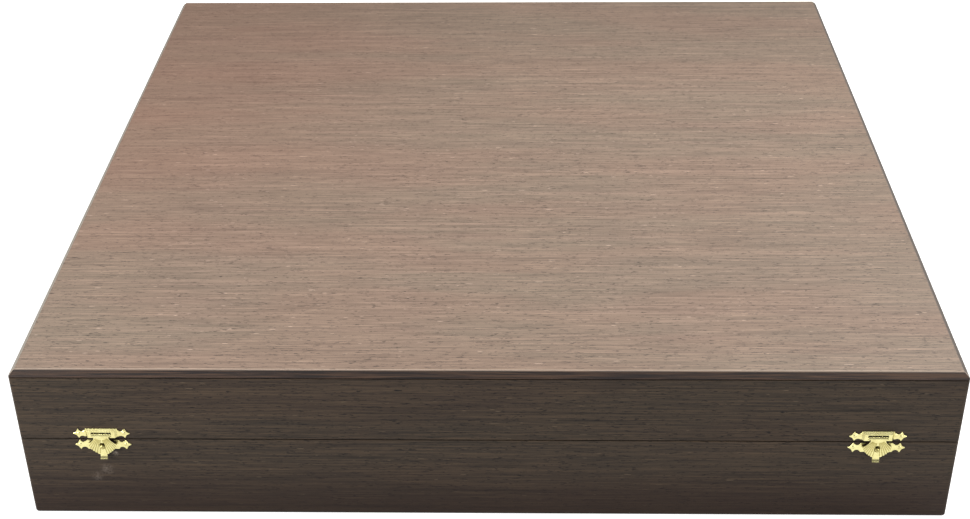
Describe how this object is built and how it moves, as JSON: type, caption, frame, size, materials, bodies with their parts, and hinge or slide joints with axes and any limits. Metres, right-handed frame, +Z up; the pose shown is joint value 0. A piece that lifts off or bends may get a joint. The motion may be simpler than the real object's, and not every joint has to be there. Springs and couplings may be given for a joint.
{
  "type": "chess box with hinged lid",
  "caption": "Low square wooden storage case for a chess board and men, with mitred walls, a chamfered lid on butt hinges and ornamental hasp clasps.",
  "frame": {"origin": "centre of the flat underside, on the surface that the box stands on", "axes": "+Z up, -Y out of the front with the clasps, +Y towards the hinges, +X to the right seen from the front"},
  "size_m": [0.5, 0.5077, 0.0955],
  "materials": {
    "dark_stained_wood": "satin lacquer over dark stain",
    "bottom_panel": "stained plywood",
    "felt": "napped felt",
    "clasp_brass": "bright stamped",
    "hinge_brass": "satin"
  },
  "bodies": {
    "base": {"base_front_wall": "dark_stained_wood", "base_back_wall": "dark_stained_wood", "base_left_wall": "dark_stained_wood", "base_right_wall": "dark_stained_wood", "base_panel": "bottom_panel", "base_lining": "felt", "hinge_left_base_leaf": "hinge_brass", "hinge_left_pin": "hinge_brass", "hinge_left_base_screws": "hinge_brass", "clasp_left_base_plate": "clasp_brass", "clasp_left_stud": "clasp_brass", "clasp_left_base_nails": "clasp_brass", "hinge_right_base_leaf": "hinge_brass", "hinge_right_pin": "hinge_brass", "hinge_right_base_screws": "hinge_brass", "clasp_right_base_plate": "clasp_brass", "clasp_right_stud": "clasp_brass", "clasp_right_base_nails": "clasp_brass"},
    "lid": {"lid_front_wall": "dark_stained_wood", "lid_back_wall": "dark_stained_wood", "lid_left_wall": "dark_stained_wood", "lid_right_wall": "dark_stained_wood", "lid_top_panel": "dark_stained_wood", "lid_lining": "felt", "hinge_left_lid_leaf": "hinge_brass", "hinge_left_lid_screws": "hinge_brass", "clasp_left_lid_plate": "clasp_brass", "clasp_left_lid_nails": "clasp_brass", "hinge_right_lid_leaf": "hinge_brass", "hinge_right_lid_screws": "hinge_brass", "clasp_right_lid_plate": "clasp_brass", "clasp_right_lid_nails": "clasp_brass"},
    "hasp_left": {"clasp_left_hasp": "clasp_brass"},
    "hasp_right": {"clasp_right_hasp": "clasp_brass"}
  },
  "joints": [
    {"name": "lid_hinge", "type": "hinge", "parent": "base", "child": "lid", "pos_m": [0, 0.2522, 0.0516], "axis": [-1, 0, 0], "range_deg": [0, 180]},
    {"name": "hasp_left_hinge", "type": "hinge", "parent": "lid", "child": "hasp_left", "pos_m": [-0.2056, -0.2515, 0.0553], "axis": [-1, 0, 0], "range_deg": [0, 130]},
    {"name": "hasp_right_hinge", "type": "hinge", "parent": "lid", "child": "hasp_right", "pos_m": [0.2067, -0.2515, 0.0553], "axis": [-1, 0, 0], "range_deg": [0, 130]}
  ]
}
